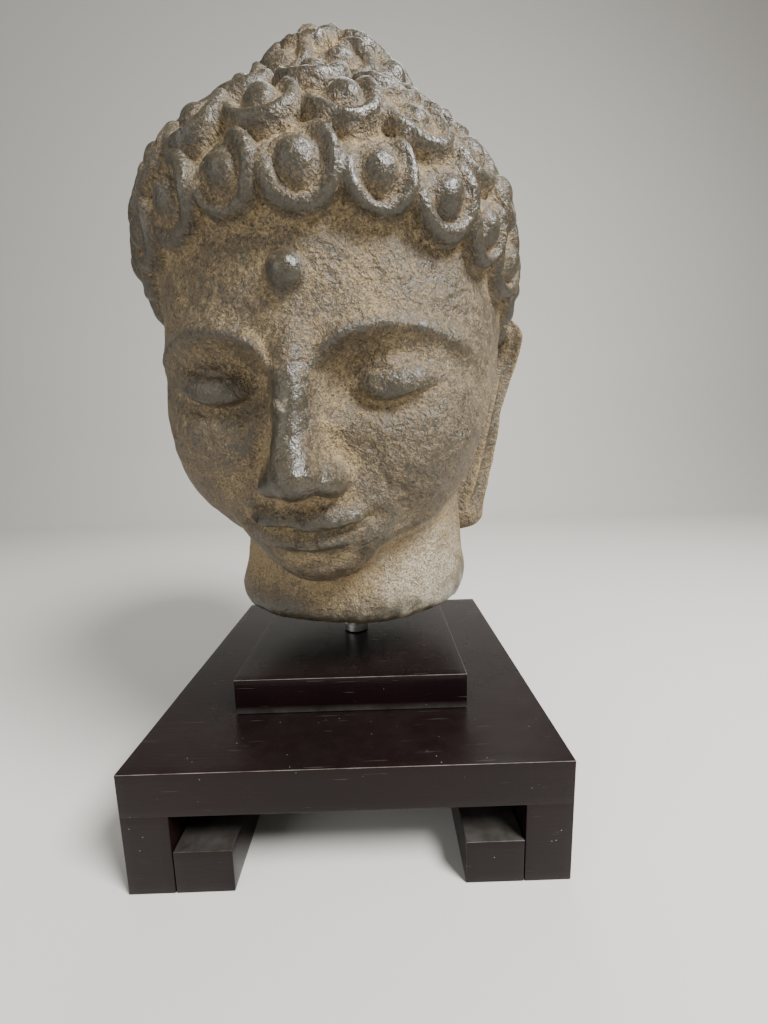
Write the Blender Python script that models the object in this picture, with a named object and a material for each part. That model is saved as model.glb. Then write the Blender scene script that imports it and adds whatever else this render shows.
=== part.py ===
"""A carved stone head with snail-shell curls, held on a steel rod over a small black wooden stand."""
import math

import bpy
import numpy as np

# Driving dimensions, metres
HEAD_HEIGHT = 0.2465          # from the neck's cut to the top of the crown's bump
HEAD_YAW = math.radians(6)    # the face is turned a little towards -X
STAND_WIDTH = 0.170
STAND_DEPTH = 0.170
BOARD = 0.018                 # thickness of the stand's boards
STAND_HEIGHT = 0.051
FOOT_BAR_WIDTH = 0.0224
FOOT_BAR_HEIGHT = 0.018
BLOCK_WIDTH = 0.103
BLOCK_HEIGHT = 0.0165
ARRIS = 0.0008                # rounding of the wood's edges
ROD_DIAMETER = 0.0095
ROD_SHOWING = 0.0235          # rod between the block's top and the neck's cut
ROD_IN_NECK = 0.045
ROD_IN_BLOCK = 0.012
COLLAR_WALL = 0.0014
COLLAR_HEIGHT = 0.004
GAP = 0.0003                  # between neighbouring pieces

# The carving is drawn at this height, in units of about a millimetre, then scaled to HEAD_HEIGHT
DRAWN_HEIGHT = 246.5
LEAN = math.radians(11)                     # the head bows forward over the upright neck
MID_SKULL = np.array((-2.0, -10.3, 121.5))  # from the middle of the neck's cut
NECK_RADIUS = 54.0
NECK_BULGE = 3.2                            # how much fuller the neck is at the viewer's right
SKULL_MIDDLE = np.array((0, 7.0, 10.7))
SKULL = np.array((74.5, 86.0, 77.0))        # half sizes
HAIR_CAP_MIDDLE = np.array((0, 6.0, 41.4))
HAIR_CAP = np.array((70.3, 79.3, 42.0))     # half sizes; the hair is full over the top
HAIR_DEPTH = 3.6                            # the hair's bed rises by this above its edge
HAIR_RISE = (-2.0, 16.0)                    # between these heights from the edge
HAIRLINE = (-52.0, 35.0)                    # its height at the nape and over the forehead
CROWN = np.array((0, 18.0, 87.0))           # middle of the crown's bump
BUMP = np.array((38.5, 38.5, 31.5))         # its half sizes
BUMP_MARGIN = 3.0                           # kept clear of the rows of curls around its foot
CURL_SPACING = 22.5
ROW_SHARE = 0.93                            # of the curls' spacing, from one row to the next
BUMP_RINGS = ((66, 10, 0.5), (33, 6, -0.13))    # curls on the bump: degrees down, how many, turn of the first
BOSS_RADIUS, BOSS_HEIGHT = 6.3, 5.2         # the round boss in the middle of a curl
LOCK_RADIUS, LOCK_HEIGHT = 8.8, 5.0         # the lock that winds round it
LOCK_HALF_WIDTH = 3.1
LOCK_OPENING = 0.12                         # the lock's radius grows by this for each radian
LOCK_START, LOCK_END = 0.35, 4.9            # radians round the boss, from its top
HEAD_TRIANGLES = 7600                       # left on the head by the thinning
EAR_TRIANGLES = 520                         # left on each ear
HEAD_COLUMNS, HEAD_ROWS = 200, 160          # grid of the carving before the thinning
EAR_COLUMNS, EAR_ROWS = 44, 60


def ellipsoid(p, centre, radii):
    """Distance, near enough, from points to an ellipsoid; below zero inside."""
    radii = np.array(radii, float)
    q = (p - np.array(centre, float)) / radii
    near = np.sqrt((q * q).sum(-1))
    slope = np.sqrt(((q / radii) ** 2).sum(-1))
    return near * (near - 1) / np.maximum(slope, 1e-9)


def taper(p, start, end, start_radius, end_radius):
    """Distance to a round bar whose radius changes along it."""
    start, end = np.array(start, float), np.array(end, float)
    along = end - start
    t = np.clip(((p - start) @ along) / (along @ along), 0, 1)
    return np.linalg.norm(p - start - t[..., None] * along, axis=-1) - (
        start_radius + (end_radius - start_radius) * t)


def blend(a, b, width):
    """Union of two distances with a fillet of about the width."""
    h = np.maximum(width - np.abs(a - b), 0) / width
    return np.minimum(a, b) - h * h * width / 4


def carve(a, b, width):
    """The first distance less the second, with a softened edge."""
    return -blend(-a, b, width)


def hump(t, width):
    """A bell that is 1 at zero and falls away over the width."""
    return np.exp(-(t / width) ** 2)


def ease(t, stations, values):
    """A smooth curve through values at stations, level at each of them."""
    out = np.full(np.shape(t), values[0], float)
    for a, b, low, high in zip(stations, stations[1:], values, values[1:]):
        share = np.clip((t - a) / (b - a), 0, 1)
        out = np.where(t >= a, low + (high - low) * share * share * (3 - 2 * share), out)
    return out


def to_neck(p):
    """Points of the bowed head, in the upright neck's frame."""
    c, s = math.cos(LEAN), math.sin(LEAN)
    x, y, z = p[..., 0], p[..., 1], p[..., 2]
    return np.stack([x, c * y - s * z, s * y + c * z], -1) + MID_SKULL


def hairline(p):
    """Height of the hair's edge: level over the forehead, falling behind the ears to the nape."""
    bearing = np.arctan2(np.abs(p[..., 0]), -p[..., 1])
    return HAIRLINE[0] + (HAIRLINE[1] - HAIRLINE[0]) * (0.5 + 0.5 * np.cos(bearing)) ** 0.62


def head_field(p):
    """Distance to the head before its curls. Mid-skull is the origin and the face looks along -Y."""
    x, y, z = p[..., 0], p[..., 1], p[..., 2]
    side = np.abs(x)
    q = np.stack([side, y, z], -1)
    d = ellipsoid(q, SKULL_MIDDLE, SKULL)
    d = blend(d, ellipsoid(q, (0, -16, -22), (65, 63, 63)), 20)
    d = blend(d, ellipsoid(q, (0, -34, -54), (45, 42, 30)), 18)
    d = blend(d, ellipsoid(q, (0, -66, -72), (17, 14, 13)), 15)
    d = blend(d, ellipsoid(q, (34, -49, -32), (24, 24, 25)), 16)
    d = eyes(d, q, side, z)
    d = nose(d, q)
    d = mouth(d, q, side, z)
    # the dot on the forehead
    d = blend(d, ellipsoid(q, (0, -78, 21), (6.2, 6.2, 6.2)), 1.2)
    # the hair's bed swells from its edge and is full over the top, and the crown carries its bump
    d = blend(d, ellipsoid(q, HAIR_CAP_MIDDLE, HAIR_CAP), 12)
    d = d - ease(z - hairline(p), HAIR_RISE, (0, HAIR_DEPTH))
    d = blend(d, ellipsoid(q, CROWN, BUMP), 12)
    # the neck is an upright drum with a fuller, rounded foot, cut off level
    neck = to_neck(p)
    drum = np.hypot(neck[..., 0], neck[..., 1] - 2) - NECK_RADIUS - 4 * hump(neck[..., 2] - 7, 13)
    drum = drum - NECK_BULGE * hump(neck[..., 2] - 26, 20) * np.clip(neck[..., 0] / 50, 0, 1)
    drum = -blend(-drum, 80 - neck[..., 2], 10)
    d = blend(d, drum, 9)
    return -blend(-d, neck[..., 2], 10)


def eyes(d, q, side, z):
    """Hollows under arched brows, with full lids nearly closed."""
    d = carve(d, ellipsoid(q, (29, -87, -10), (23, 18, 12)), 9)
    lid = ellipsoid(q, (29, -62, -12), (17.5, 15, 11.6))
    slit = -14.6 - 2 * hump(side - 28, 9) + 0.01 * (side - 29) ** 2
    below = 1 / (1 + np.exp(np.clip((z - slit) / 0.35, -40, 40)))
    lid = lid + 3.0 * below - 1.3 * hump(z - slit + 2.9, 1.3) * below + hump(z - slit - 9.5, 1.2)
    d = blend(d, lid, 3)
    brow = 6.5 - 0.0125 * (side - 31) ** 2 - 9 * hump(side, 7)
    return d - (q[..., 1] < -30) * 2.8 * hump(z - brow, 3.2) / (1 + ((side - 30) / 27) ** 12)


def nose(d, q):
    """A straight nose: its body, its narrow ridge, the tip and the wings."""
    body = taper(q, (0, -74, 2), (0, -80, -36), 6.5, 11)
    body = blend(body, taper(q, (0, -81, 0), (0, -94, -34), 4.2, 6.2), 7)
    body = blend(body, ellipsoid(q, (0, -95, -37.5), (6.9, 8, 6.6)), 5)
    body = blend(body, ellipsoid(q, (9.2, -86, -40), (5.6, 8.5, 5.2)), 4)
    d = blend(d, body, 5)
    return carve(d, ellipsoid(q, (4.9, -90, -46.5), (2.6, 4.2, 2.6)), 2)


def mouth(d, q, side, z):
    """Full closed lips on a soft mound, with the furrows above and below them."""
    d = blend(d, ellipsoid(q, (0, -69, -58), (27, 14, 17)), 12)
    d = blend(d, ellipsoid(q, (7, -81.6, -54.4), (13.5, 5.6, 3.7)), 2.5)
    d = blend(d, ellipsoid(q, (0, -82.6, -55.8), (5.5, 4.6, 3.2)), 2.5)
    d = blend(d, ellipsoid(q, (0, -80.6, -62.4), (14.5, 7, 5.2)), 3)
    parting = -58.4 + 0.007 * side ** 2 - 0.8 * hump(side, 5)
    dents = 2.6 * hump(z - parting, 1.1) / (1 + (side / 21.5) ** 10)
    dents = dents + 1.6 * hump(np.hypot(side - 23.5, z + 56), 4)
    dents = dents + 1.1 * hump(side, 2.4) * hump(z + 49.8, 3)
    dents = dents + 1.6 * hump(z + 70.5, 3.5) * hump(side, 15)
    return d + (q[..., 1] < -50) * dents


def along_rays(directions, rounds=26):
    """Where rays from mid-skull leave the head."""
    reach = np.full(directions.shape[:-1], 85.0)
    for _ in range(rounds):
        reach = reach - np.clip(head_field(reach[..., None] * directions), -20, 20) * 0.85
    return reach[..., None] * directions


def curl_places():
    """Each curl's middle and the point it hangs from: rows up from the hairline, then the bump's rings."""
    bearings, steps = 90, 48
    bearing = np.linspace(0, 2 * np.pi, bearings, endpoint=False)
    edge = np.stack([SKULL[0] * np.sin(bearing), -SKULL[1] * np.cos(bearing), 0 * bearing], -1)
    height = hairline(edge)
    edge = edge * np.sqrt(1 - ((height - SKULL_MIDDLE[2]) / SKULL[2]) ** 2)[:, None] + SKULL_MIDDLE
    edge[:, 2] = height
    edge /= np.linalg.norm(edge, axis=1)[:, None]
    top = CROWN / np.linalg.norm(CROWN)
    angle = np.arccos(edge @ top)[None, :, None]
    share = np.linspace(0, 1, steps)[:, None, None]
    fan = along_rays((np.sin((1 - share) * angle) * edge + np.sin(share * angle) * top) / np.sin(angle))
    run = np.linalg.norm(np.diff(fan, axis=0), axis=-1).cumsum(axis=0)
    run = np.concatenate([np.zeros((1, bearings)), run])
    on_bump = np.linalg.norm((fan - CROWN) / (BUMP + BUMP_MARGIN), axis=-1) < 1
    room = run[on_bump.argmax(axis=0), np.arange(bearings)]
    places = []
    rows = int(room.max() / (CURL_SPACING * ROW_SHARE))
    for row in range(rows):
        climb = CURL_SPACING * (0.5 + ROW_SHARE * row)
        line = np.array([[np.interp(climb, run[:, i], fan[:, i, axis]) for axis in range(3)]
                         for i in range(bearings)])
        line = np.concatenate([line, line[:1]])
        along = np.concatenate([[0], np.linalg.norm(np.diff(line, axis=0), axis=1).cumsum()])
        count = round(along[-1] / CURL_SPACING)
        for i in range(count):
            at = (i + 0.3 + 0.5 * (row % 2)) / count * along[-1] % along[-1]
            if np.interp(at, along, np.append(room, room[0])) - climb > CURL_SPACING * 0.35:
                middle = np.array([np.interp(at, along, line[:, axis]) for axis in range(3)])
                places.append((middle, CROWN))
    summit = CROWN + (0, 0, BUMP[2])
    for tilt, count, first in BUMP_RINGS:
        down = math.radians(tilt)
        for i in range(count):
            turn = 2 * np.pi * (i + first) / count
            out = (math.sin(down) * math.sin(turn), -math.sin(down) * math.cos(turn), math.cos(down))
            places.append((CROWN + BUMP * out, summit + (0, 0, BUMP[2])))
    places.append((summit, summit + (0, BUMP[1], 0)))
    return places


def curl_relief(points, normals):
    """Height of the curls over the hair: a boss, and a lock that winds from its top round under it."""
    relief = np.zeros(points.shape[:-1])
    for middle, hook in curl_places():
        distance = np.linalg.norm(points - middle, axis=-1)
        near = distance < 0.7 * CURL_SPACING
        normal = normals[np.unravel_index(distance.argmin(), distance.shape)]
        up = (hook - middle) - ((hook - middle) @ normal) * normal
        up /= np.linalg.norm(up)
        across = (points[near] - middle) @ np.cross(up, normal)
        above = (points[near] - middle) @ up
        out = np.hypot(across, above)
        turn = np.arctan2(across, above) % (2 * np.pi)
        boss = BOSS_HEIGHT * np.clip(1 - (out / BOSS_RADIUS) ** 2, 0, 1) ** 0.7
        off_lock = (out - LOCK_RADIUS - LOCK_OPENING * turn) / LOCK_HALF_WIDTH
        lock = LOCK_HEIGHT * np.clip(1 - off_lock ** 2, 0, 1) ** 0.8
        lock *= 1 / (1 + np.exp((LOCK_START - turn) / 0.15)) / (1 + np.exp((turn - LOCK_END) / 0.25))
        relief[near] = np.maximum(relief[near], np.maximum(boss, lock))
    return relief


def head_rings(columns, rows):
    """The carved head as rings of points from the crown down to the neck's cut, with its two poles."""
    turn = np.linspace(-np.pi, np.pi, columns, endpoint=False)
    turn = turn - 0.35 * np.sin(turn)
    fall = np.linspace(0, np.pi, rows + 2)
    turn, fall = np.meshgrid(turn, fall)
    rays = np.stack([np.sin(fall) * np.sin(turn), -np.sin(fall) * np.cos(turn), np.cos(fall)], -1)
    fan = along_rays(rays)
    around = np.roll(fan, -1, 1) - np.roll(fan, 1, 1)
    normals = np.cross(np.gradient(fan, axis=0), around)
    normals[0], normals[-1] = (0, 0, 1), (0, 0, -1)
    normals /= np.linalg.norm(normals, axis=-1)[..., None]
    fan = fan + curl_relief(fan, normals)[..., None] * normals
    return to_neck(fan)


def ear_rings(columns, rows, side):
    """An ear as level sections: out along its front face from the root, round the rim and back."""
    fall = 0.5 - 0.5 * np.cos(np.linspace(0, np.pi, rows + 2))
    height = 17 - 111 * fall
    root_side = ease(fall, (0, 0.35, 0.7, 1), (62, 60, 50, 42))
    root_back = ease(fall, (0, 0.4, 1), (8, 4, 2))
    root = np.stack([root_side, root_back], -1)
    rim_side = ease(fall, (0, 0.12, 0.5, 1), (86, 90, 79, 72))
    rim_back = ease(fall, (0, 0.25, 0.6, 1), (26, 31, 24, 10))
    rim = np.stack([rim_side, rim_back], -1)
    rounded_top = 1 - np.clip(1 - fall / 0.1, 0, 1) ** 2
    rounded_foot = 1 - np.clip(1 - (1 - fall) / 0.08, 0, 1) ** 2
    swell = np.sqrt(rounded_top * rounded_foot)[:, None]
    width = np.linalg.norm(rim - root, axis=1)[:, None]
    outward = (rim - root) / width
    turn = np.linspace(0, 2 * np.pi, columns, endpoint=False)
    share = np.broadcast_to(0.5 - 0.5 * np.cos(turn), (rows + 2, columns))
    face = np.sign(np.sin(turn)) * np.abs(np.sin(turn)) ** 0.45
    inward, fall = (1 - share) * width, fall[:, None]
    above_lobe = np.clip((0.93 - fall) / 0.14, 0, 1)
    relief = 3.0 * hump(inward - 3.0, 2.3) * above_lobe
    second_ridge = 2.2 * hump(inward - 10.2 - 3 * fall, 2.0) * np.clip((fall - 0.02) / 0.15, 0, 1)
    relief = relief + second_ridge * above_lobe
    relief = relief - 6.0 * hump(inward - 18 + 14 * fall, 5.5) * hump(fall - 0.2, 0.12)
    relief = relief + 1.8 * hump(inward - 8, 9) * hump(fall - 0.95, 0.1)
    thick = face * 4.4 * swell + relief * np.clip(face, 0, 1) ** 0.5 * swell
    reach = width * (0.5 + (share - 0.5) * (0.35 + 0.65 * swell))
    x = root[:, :1] + reach * outward[:, :1] + thick * outward[:, 1:]
    y = root[:, 1:] + reach * outward[:, 1:] - thick * outward[:, :1]
    return to_neck(np.stack([side * x, y, np.broadcast_to(height[:, None], x.shape)], -1))


def closed_rings(name, rings, facing):
    """A closed object from rings of points; the first and last ring shrink to one pole each."""
    rows, columns = rings.shape[0] - 2, rings.shape[1]
    points = np.concatenate([rings[1:-1].reshape(-1, 3), [rings[0].mean(axis=0), rings[-1].mean(axis=0)]])
    first = np.arange(columns)
    after = (first + 1) % columns
    low = np.arange(rows - 1)[:, None] * columns
    walls = np.stack([low + first, low + columns + first, low + columns + after, low + after], -1)
    faces = walls.reshape(-1, 4).tolist()
    faces += [(rows * columns, a, b) for a, b in zip(first.tolist(), after.tolist())]
    last = (rows - 1) * columns
    faces += [(rows * columns + 1, last + b, last + a) for a, b in zip(first.tolist(), after.tolist())]
    if facing < 0:
        faces = [face[::-1] for face in faces]
    mesh = bpy.data.meshes.new(name)
    mesh.from_pydata((points * HEAD_HEIGHT / DRAWN_HEIGHT).tolist(), [], faces)
    mesh.shade_smooth()
    piece = bpy.data.objects.new(name, mesh)
    bpy.context.collection.objects.link(piece)
    return piece


def thin(piece, triangles):
    """Collapse the closest edges until about this many triangles are left."""
    modifier = piece.modifiers.new("thin", "DECIMATE")
    have = sum(len(face.vertices) - 2 for face in piece.data.polygons)
    modifier.ratio = min(1.0, triangles / have)


def combine(piece, other, operation):
    """Join another form to a piece, or cut it out of the piece."""
    modifier = piece.modifiers.new(other.name, "BOOLEAN")
    modifier.operation = operation
    modifier.solver = "EXACT"
    modifier.object = other
    other.hide_render = True
    other.display_type = "WIRE"


def material(name, colour, roughness, metallic=0.0):
    surface = bpy.data.materials.new(name)
    surface.use_nodes = True
    shader = surface.node_tree.nodes["Principled BSDF"]
    shader.inputs["Base Color"].default_value = (*colour, 1)
    shader.inputs["Roughness"].default_value = roughness
    shader.inputs["Metallic"].default_value = metallic
    return surface


def turned(name, radius, low, high, bore=0.0, sides=32):
    """An upright round bar, or a ring if it has a bore, on the rod's axis."""
    outline = [(radius, low), (radius, high), (bore, high), (bore, low)]
    verts, faces = [], []
    for i in range(sides):
        angle = 2 * math.pi * i / sides
        walls = outline if bore else outline[:2]
        verts += [(r * math.cos(angle), r * math.sin(angle), z) for r, z in walls]
    ring = 4 if bore else 2
    for i in range(sides):
        here, there = i * ring, (i + 1) % sides * ring
        for j in range(ring if bore else 1):
            k = (j + 1) % ring
            faces.append((here + j, there + j, there + k, here + k))
    if not bore:
        faces.append([i * ring for i in reversed(range(sides))])
        faces.append([i * ring + 1 for i in range(sides)])
    mesh = bpy.data.meshes.new(name)
    mesh.from_pydata(verts, [], faces)
    mesh.shade_smooth()
    mesh.set_sharp_from_angle(angle=math.radians(30))
    piece = bpy.data.objects.new(name, mesh)
    bpy.context.collection.objects.link(piece)
    return piece


def board(name, low, high, wood):
    """A squared piece of wood between two corners, its edges lightly eased."""
    corners = [(x, y, z) for x in (low[0], high[0]) for y in (low[1], high[1]) for z in (low[2], high[2])]
    faces = [(0, 1, 3, 2), (4, 6, 7, 5), (0, 4, 5, 1), (2, 3, 7, 6), (0, 2, 6, 4), (1, 5, 7, 3)]
    mesh = bpy.data.meshes.new(name)
    mesh.from_pydata(corners, [], faces)
    mesh.materials.append(wood)
    piece = bpy.data.objects.new(name, mesh)
    bpy.context.collection.objects.link(piece)
    edge = piece.modifiers.new("arris", "BEVEL")
    edge.width = ARRIS
    edge.segments = 1
    return piece


def make_stand(wood):
    """A top board on two side boards, each with a foot bar along its inner side, and the block on top."""
    half_width, half_depth = STAND_WIDTH / 2, STAND_DEPTH / 2
    under = STAND_HEIGHT - BOARD
    board("stand_top_board", (-half_width, -half_depth, under), (half_width, half_depth, STAND_HEIGHT),
          wood)
    for side, x in (("left", -1), ("right", 1)):
        outer, inner = x * half_width, x * (half_width - BOARD)
        bar_outer, bar_inner = inner - x * GAP, inner - x * (GAP + FOOT_BAR_WIDTH)
        board(side + "_side_board", (min(outer, inner), -half_depth, 0),
              (max(outer, inner), half_depth, under - GAP), wood)
        board(side + "_foot_bar", (min(bar_outer, bar_inner), -half_depth, 0),
              (max(bar_outer, bar_inner), half_depth, FOOT_BAR_HEIGHT), wood)
    foot = STAND_HEIGHT + GAP
    block = board("plinth_block", (-BLOCK_WIDTH / 2, -BLOCK_WIDTH / 2, foot),
                  (BLOCK_WIDTH / 2, BLOCK_WIDTH / 2, STAND_HEIGHT + BLOCK_HEIGHT), wood)
    seat = STAND_HEIGHT + BLOCK_HEIGHT - ROD_IN_BLOCK
    hole = turned("block_hole", ROD_DIAMETER / 2 + GAP, seat - GAP, seat + BLOCK_HEIGHT)
    combine(block, hole, "DIFFERENCE")


def make_rod(steel):
    """The rod from its seat in the block up into the neck, and the collar at its foot."""
    block_top = STAND_HEIGHT + BLOCK_HEIGHT
    neck_cut = block_top + ROD_SHOWING
    bore = ROD_DIAMETER / 2 + GAP
    foot = block_top + GAP
    rod = turned("mounting_rod", ROD_DIAMETER / 2, block_top - ROD_IN_BLOCK, neck_cut + ROD_IN_NECK)
    collar = turned("rod_collar", bore + COLLAR_WALL, foot, foot + COLLAR_HEIGHT, bore)
    for piece in (rod, collar):
        piece.data.materials.append(steel)


def make_head(stone):
    """The carved head, its ears joined on, with a blind hole up the neck for the rod."""
    head = closed_rings("buddha_head", head_rings(HEAD_COLUMNS, HEAD_ROWS), 1)
    head.data.materials.append(stone)
    thin(head, HEAD_TRIANGLES)
    ears = [closed_rings(name, ear_rings(EAR_COLUMNS, EAR_ROWS, side), -side)
            for name, side in (("ear_right_form", 1), ("ear_left_form", -1))]
    hole = turned("neck_hole", ROD_DIAMETER / 2 + GAP, -0.01, ROD_IN_NECK + GAP)
    for form in ears:
        thin(form, EAR_TRIANGLES)
        combine(head, form, "UNION")
    combine(head, hole, "DIFFERENCE")
    for form in (head, hole, *ears):
        form.location.z = STAND_HEIGHT + BLOCK_HEIGHT + ROD_SHOWING
        form.rotation_euler.z = -HEAD_YAW


def centre_on_origin():
    """Move everything together until the middle of its plan is over the origin."""
    bpy.context.view_layer.update()
    plan = []
    for piece in bpy.data.objects:
        points = np.array([vertex.co for vertex in piece.data.vertices])
        turn, shift = np.array(piece.matrix_world.to_3x3()), np.array(piece.matrix_world.translation)
        plan.append(points @ turn.T + shift)
    plan = np.concatenate(plan)
    middle = (plan.min(axis=0) + plan.max(axis=0)) / 2
    for piece in bpy.data.objects:
        piece.location.x -= middle[0]
        piece.location.y -= middle[1]


for item in list(bpy.data.objects):
    bpy.data.objects.remove(item)
make_stand(material("black lacquered wood", (0.012, 0.008, 0.008), 0.3))
make_rod(material("polished steel", (0.6, 0.6, 0.6), 0.2, metallic=1.0))
make_head(material("dark volcanic stone", (0.16, 0.135, 0.105), 0.6))
centre_on_origin()
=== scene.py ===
import math

import bpy
import numpy as np
from mathutils import Matrix, Vector


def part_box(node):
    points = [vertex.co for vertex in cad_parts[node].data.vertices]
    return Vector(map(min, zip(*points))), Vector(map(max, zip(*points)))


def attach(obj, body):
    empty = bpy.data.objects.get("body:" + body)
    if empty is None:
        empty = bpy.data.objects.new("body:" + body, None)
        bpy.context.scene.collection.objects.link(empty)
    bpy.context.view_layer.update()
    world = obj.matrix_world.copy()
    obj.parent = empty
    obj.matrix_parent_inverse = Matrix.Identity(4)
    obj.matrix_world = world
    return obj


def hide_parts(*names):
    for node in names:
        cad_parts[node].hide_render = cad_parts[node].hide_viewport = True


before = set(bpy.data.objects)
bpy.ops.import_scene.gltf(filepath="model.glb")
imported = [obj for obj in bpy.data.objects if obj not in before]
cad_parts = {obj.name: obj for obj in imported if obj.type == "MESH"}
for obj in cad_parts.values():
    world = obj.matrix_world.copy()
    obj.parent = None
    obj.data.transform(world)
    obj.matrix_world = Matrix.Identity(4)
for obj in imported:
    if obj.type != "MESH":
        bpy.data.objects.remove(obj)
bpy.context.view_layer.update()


# Small helpers

def centreOf(node):
    # the middle of a solid's box, in metres
    low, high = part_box(node)
    return (np.array(low) + np.array(high)) / 2


def toLinear(hexColour):
    # an sRGB hex colour as the linear values that shaders take
    parts = [int(hexColour[i:i + 2], 16) / 255 for i in (1, 3, 5)]
    return [c / 12.92 if c <= 0.04045 else ((c + 0.055) / 1.055) ** 2.4 for c in parts] + [1.0]


def addNode(tree, kind, inputs=None, **settings):
    # adds a node; inputs maps a socket's name or number to a value or to another node's output
    node = tree.nodes.new(kind)
    for name, value in settings.items():
        setattr(node, name, value)
    for name, value in (inputs or {}).items():
        if isinstance(value, bpy.types.NodeSocket):
            tree.links.new(value, node.inputs[name])
        else:
            node.inputs[name].default_value = value
    return node


def newMaterial(name):
    # a material, its nodes, its shader and the object coordinates that its patterns are drawn in
    material = bpy.data.materials.new(name)
    material.use_nodes = True
    tree = material.node_tree
    place = addNode(tree, "ShaderNodeTexCoord").outputs["Object"]
    return material, tree, tree.nodes["Principled BSDF"], place


def colourRamp(tree, factor, stops):
    # a ramp through (position, hex colour) stops
    ramp = addNode(tree, "ShaderNodeValToRGB", {"Fac": factor})
    while len(ramp.color_ramp.elements) < len(stops):
        ramp.color_ramp.elements.new(0.5)
    for element, (position, colour) in zip(ramp.color_ramp.elements, stops):
        element.position = position
        element.color = toLinear(colour) if isinstance(colour, str) else (colour, colour, colour, 1)
    return ramp.outputs["Color"]


def mixColours(tree, factor, first, second):
    # the first colour giving way to the second as the factor goes from 0 to 1
    return addNode(tree, "ShaderNodeMix", {0: factor, 6: first, 7: second}, data_type="RGBA").outputs[2]


def remapped(tree, value, fromMin=0.0, fromMax=1.0, toMin=0.0, toMax=1.0):
    # a value carried evenly from one range to another, and kept within it
    return addNode(tree, "ShaderNodeMapRange", {"Value": value, "From Min": fromMin, "From Max": fromMax,
                                                "To Min": toMin, "To Max": toMax}).outputs[0]


def calculated(tree, operation, first, second=0.0, third=0.0):
    # one step of arithmetic on up to three values
    return addNode(tree, "ShaderNodeMath", {0: first, 1: second, 2: third}, operation=operation).outputs[0]


def perMetre(millimetres):
    # a pattern's scale from the real size of one of its features
    return 1000 / millimetres


def noise(tree, place, millimetres, detail=3.0, roughness=0.55, distortion=0.0):
    # a cloudy pattern with features of about this size, around a half
    return addNode(tree, "ShaderNodeTexNoise", {
        "Vector": place, "Scale": perMetre(millimetres), "Detail": detail, "Roughness": roughness,
        "Distortion": distortion}).outputs["Fac"]


def layerOf(tree, name):
    # the values that a piece keeps at its points under this name
    return addNode(tree, "ShaderNodeAttribute", attribute_name=name).outputs["Fac"]


def newPiece(name, points, faces, material, replaced, layers=None):
    # a piece from points in metres and faces; layers are named values kept at its points
    mesh = bpy.data.meshes.new(name)
    mesh.from_pydata(points.tolist(), [], faces)
    for layer, values in (layers or {}).items():
        mesh.attributes.new(layer, "FLOAT", "POINT").data.foreach_set("value", values.astype(np.float32))
    mesh.shade_smooth()
    mesh.materials.append(material)
    piece = bpy.data.objects.new(name, mesh)
    bpy.context.collection.objects.link(piece)
    if replaced:
        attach(piece, "root")
        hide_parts(*replaced)
    return piece


def ringFaces(rows, columns):
    # quads between rings of points, and a fan at each end to the two poles that follow them
    first = np.arange(columns)
    after = (first + 1) % columns
    low = np.arange(rows - 1)[:, None] * columns
    walls = np.stack([low + first, low + columns + first, low + columns + after, low + after], -1)
    faces = walls.reshape(-1, 4).tolist()
    last, pole = (rows - 1) * columns, rows * columns
    faces += [(pole, int(a), int(b)) for a, b in zip(first, after)]
    faces += [(pole + 1, int(last + b), int(last + a)) for a, b in zip(first, after)]
    return faces


def waves(points, millimetres, seed, count=28):
    # an uneven field of about unit height: many plane waves of about this length, in random directions
    chance = np.random.default_rng(seed)
    ways = chance.normal(size=(count, 3))
    ways /= np.linalg.norm(ways, axis=1)[:, None]
    ways *= (2 * np.pi / (millimetres * chance.uniform(0.75, 1.35, count)))[:, None]
    turns = chance.uniform(0, 2 * np.pi, count)
    total = np.zeros(points.shape[:-1])
    for way, turn in zip(ways, turns):
        total += np.sin(points @ way + turn)
    return total / math.sqrt(count / 2)


def evened(rings, steps):
    # rings of values averaged with their neighbours, round the ring and along the rows
    for _ in range(steps):
        rings = (np.roll(rings, 1, 1) + np.roll(rings, -1, 1) + 2 * rings) / 4
        ends = np.concatenate([rings[:1], rings, rings[-1:]])
        rings = (ends[:-2] + ends[2:] + 2 * rings) / 4
    return rings


# Camera: where the photograph was taken from, in stand widths from the middle of the stand's top

view = {
    "standWidths": (0.0833, -1.3102, 0.6779),
    "focalPixels": 417.4,
    "longSidePixels": 1024,
    "sensorMillimetres": 36.0,
    "yaw": -0.712,
    "pitch": 8.492,
    "roll": -1.301,
}
topLow, topHigh = (np.array(corner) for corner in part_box("stand_top_board"))
standWidth = topHigh[0] - topLow[0]
standTop = np.array(((topLow[0] + topHigh[0]) / 2, (topLow[1] + topHigh[1]) / 2, topHigh[2]))


def makeCamera():
    # a camera at its place over the stand, turned by yaw and pitch, then rolled about its line of sight
    lens = bpy.data.cameras.new("camera")
    lens.sensor_width = view["sensorMillimetres"]
    lens.lens = view["focalPixels"] * view["sensorMillimetres"] / view["longSidePixels"]
    lens.clip_start = 0.01
    yaw, pitch, roll = (math.radians(view[name]) for name in ("yaw", "pitch", "roll"))
    forward = np.array((-math.sin(yaw) * math.cos(pitch), math.cos(yaw) * math.cos(pitch), -math.sin(pitch)))
    level = np.array((math.cos(yaw), math.sin(yaw), 0))
    upright = np.cross(level, forward)
    right = math.cos(roll) * level + math.sin(roll) * upright
    up = -math.sin(roll) * level + math.cos(roll) * upright
    camera = bpy.data.objects.new("camera", lens)
    bpy.context.collection.objects.link(camera)
    pose = np.eye(4)
    pose[:3, :3] = np.stack([right, up, -forward], -1)
    pose[:3, 3] = standTop + np.array(view["standWidths"]) * standWidth
    camera.matrix_world = Matrix(pose.tolist())
    bpy.context.scene.camera = camera


makeCamera()
print("camera placed")


# The carved head, drawn in millimetres from the middle of the skull: x to the viewer's right, y backwards

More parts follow.
